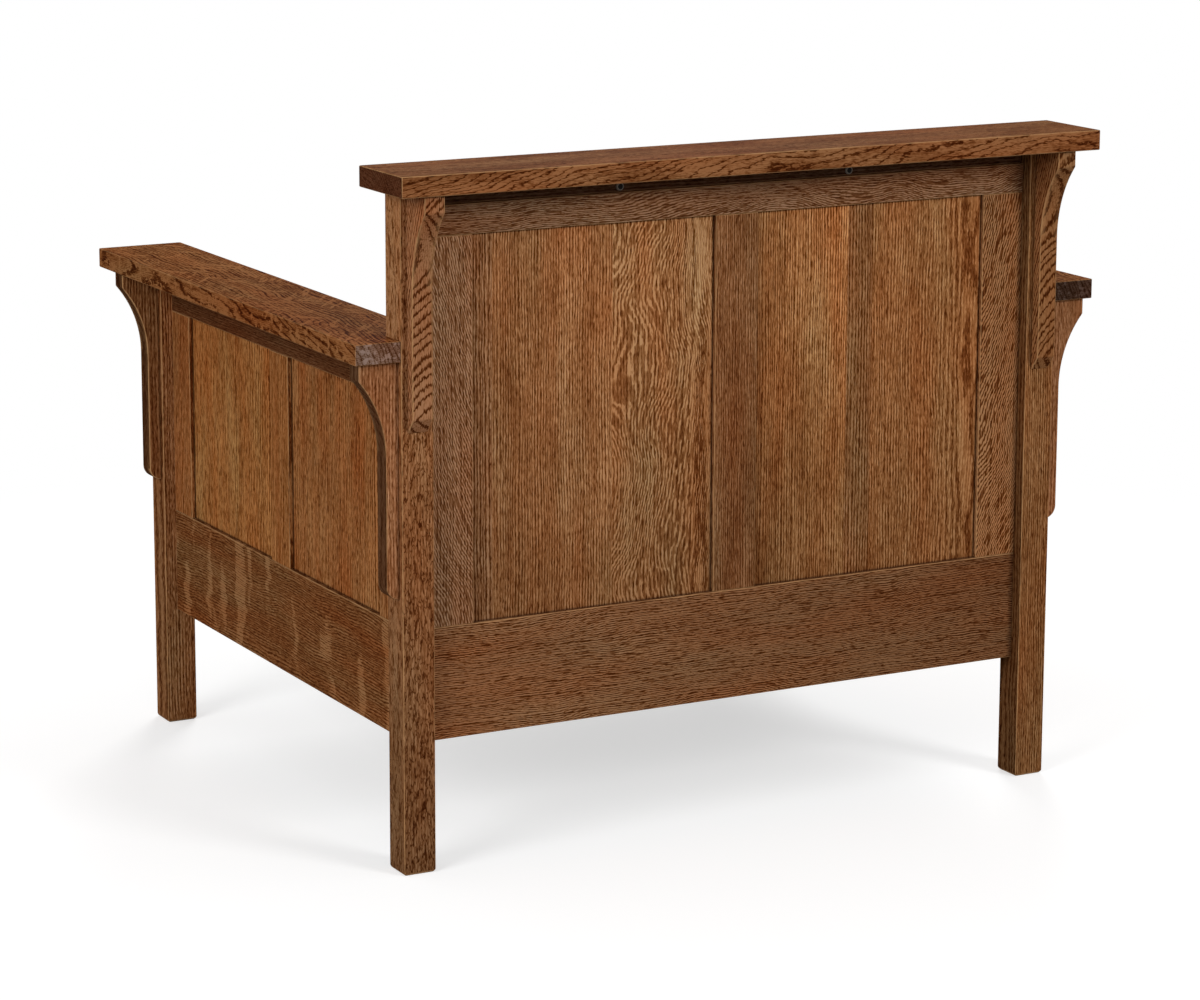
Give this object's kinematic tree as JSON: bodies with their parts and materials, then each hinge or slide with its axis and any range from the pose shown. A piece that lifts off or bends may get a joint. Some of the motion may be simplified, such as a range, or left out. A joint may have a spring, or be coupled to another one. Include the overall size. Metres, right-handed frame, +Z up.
{
  "type": "mission reclining armchair",
  "caption": "Wide oak mission armchair with panelled back and sides, flat arms and cap on corbels, and a seat unit that glides forward to recline, with a folding footrest.",
  "frame": {"origin": "on the floor, in the middle of the floor area that the whole chair covers with its footrest folded", "axes": "+Z up, -Y the way the sitter faces, +X towards the sitter's left arm"},
  "size_m": [1.1096, 0.9366, 0.908],
  "materials": {
    "oak": "satin",
    "oak_panel": "satin",
    "maple": "matte",
    "plywood": "matte",
    "upholstery": "matte",
    "webbing": "matte",
    "black_steel": "satin",
    "zinc_steel": "satin",
    "nylon": "satin"
  },
  "bodies": {
    "frame": {"arm_corbel_back_left": "oak", "arm_corbel_back_right": "oak", "arm_corbel_front_left": "oak", "arm_corbel_front_right": "oak", "arm_left": "oak", "arm_right": "oak", "back_bottom_rail": "oak", "back_mullion": "oak", "back_panel_left": "oak_panel", "back_panel_right": "oak_panel", "back_stile_left": "oak", "back_stile_right": "oak", "back_top_rail": "oak", "cap": "oak", "cap_cleat": "oak", "cap_corbel_left": "oak", "cap_corbel_right": "oak", "cap_screws": "zinc_steel", "cross_stretcher": "oak", "post_back_left": "oak", "post_back_right": "oak", "post_front_left": "oak", "post_front_right": "oak", "side_back_panel_left": "oak_panel", "side_back_panel_right": "oak_panel", "side_back_stile_left": "oak", "side_back_stile_right": "oak", "side_bottom_rail_left": "oak", "side_bottom_rail_right": "oak", "side_front_panel_left": "oak_panel", "side_front_panel_right": "oak_panel", "side_front_stile_left": "oak", "side_front_stile_right": "oak", "side_mullion_left": "oak", "side_mullion_right": "oak", "side_top_rail_left": "oak", "side_top_rail_right": "oak", "track_left": "black_steel", "track_right": "black_steel", "track_screws": "zinc_steel"},
    "carriage": {"carriage_plate_left": "black_steel", "carriage_plate_right": "black_steel", "carriage_pins": "zinc_steel", "roller_axles": "zinc_steel", "seat_front_rail": "maple", "seat_back_rail": "maple", "seat_side_rails": "maple", "seat_webbing": "webbing", "seat_cushion": "upholstery"},
    "front_rollers": {"front_rollers": "nylon"},
    "back_rollers": {"back_rollers": "nylon"},
    "backrest": {"backrest_board": "plywood", "backrest_brackets": "black_steel", "back_cushion": "upholstery"},
    "lower_links": {"footrest_lower_links": "black_steel"},
    "upper_links": {"footrest_upper_links": "black_steel"},
    "footrest": {"footrest_board": "plywood", "footrest_brackets": "black_steel", "footrest_pad": "upholstery"}
  },
  "joints": [
    {"name": "seat_glide", "type": "slide", "parent": "frame", "child": "carriage", "axis": [0, -1, 0], "range_m": [0, 0.225]},
    {"name": "back_recline", "type": "hinge", "parent": "carriage", "child": "backrest", "pos_m": [0, 0.21618, 0.4], "axis": [-1, 0, 0], "range_deg": [0, 30]},
    {"name": "front_roller_turn", "type": "hinge", "parent": "carriage", "child": "front_rollers", "pos_m": [0, -0.13875, 0.25], "axis": [1, 0, 0], "range_deg": [0, 921]},
    {"name": "back_roller_turn", "type": "hinge", "parent": "carriage", "child": "back_rollers", "pos_m": [0, 0.22318, 0.25], "axis": [1, 0, 0], "range_deg": [0, 921]},
    {"name": "footrest_swing", "type": "hinge", "parent": "carriage", "child": "lower_links", "pos_m": [0, -0.35925, 0.308], "axis": [-1, 0, 0], "range_deg": [0, 85]},
    {"name": "footrest_fold", "type": "hinge", "parent": "lower_links", "child": "upper_links", "pos_m": [0, -0.35925, 0.162], "axis": [-1, 0, 0], "range_deg": [-170, 0]},
    {"name": "footrest_tilt", "type": "hinge", "parent": "upper_links", "child": "footrest", "pos_m": [0, -0.35925, 0.308], "axis": [-1, 0, 0], "range_deg": [0, 175]}
  ],
  "couplings": [
    {"joint": "back_recline", "follows": "seat_glide", "rad_per_m": 2.327},
    {"joint": "front_roller_turn", "follows": "seat_glide", "rad_per_m": 71.43},
    {"joint": "back_roller_turn", "follows": "seat_glide", "rad_per_m": 71.43},
    {"joint": "footrest_fold", "follows": "footrest_swing", "ratio": -2},
    {"joint": "footrest_tilt", "follows": "footrest_swing", "ratio": 2.0588}
  ]
}
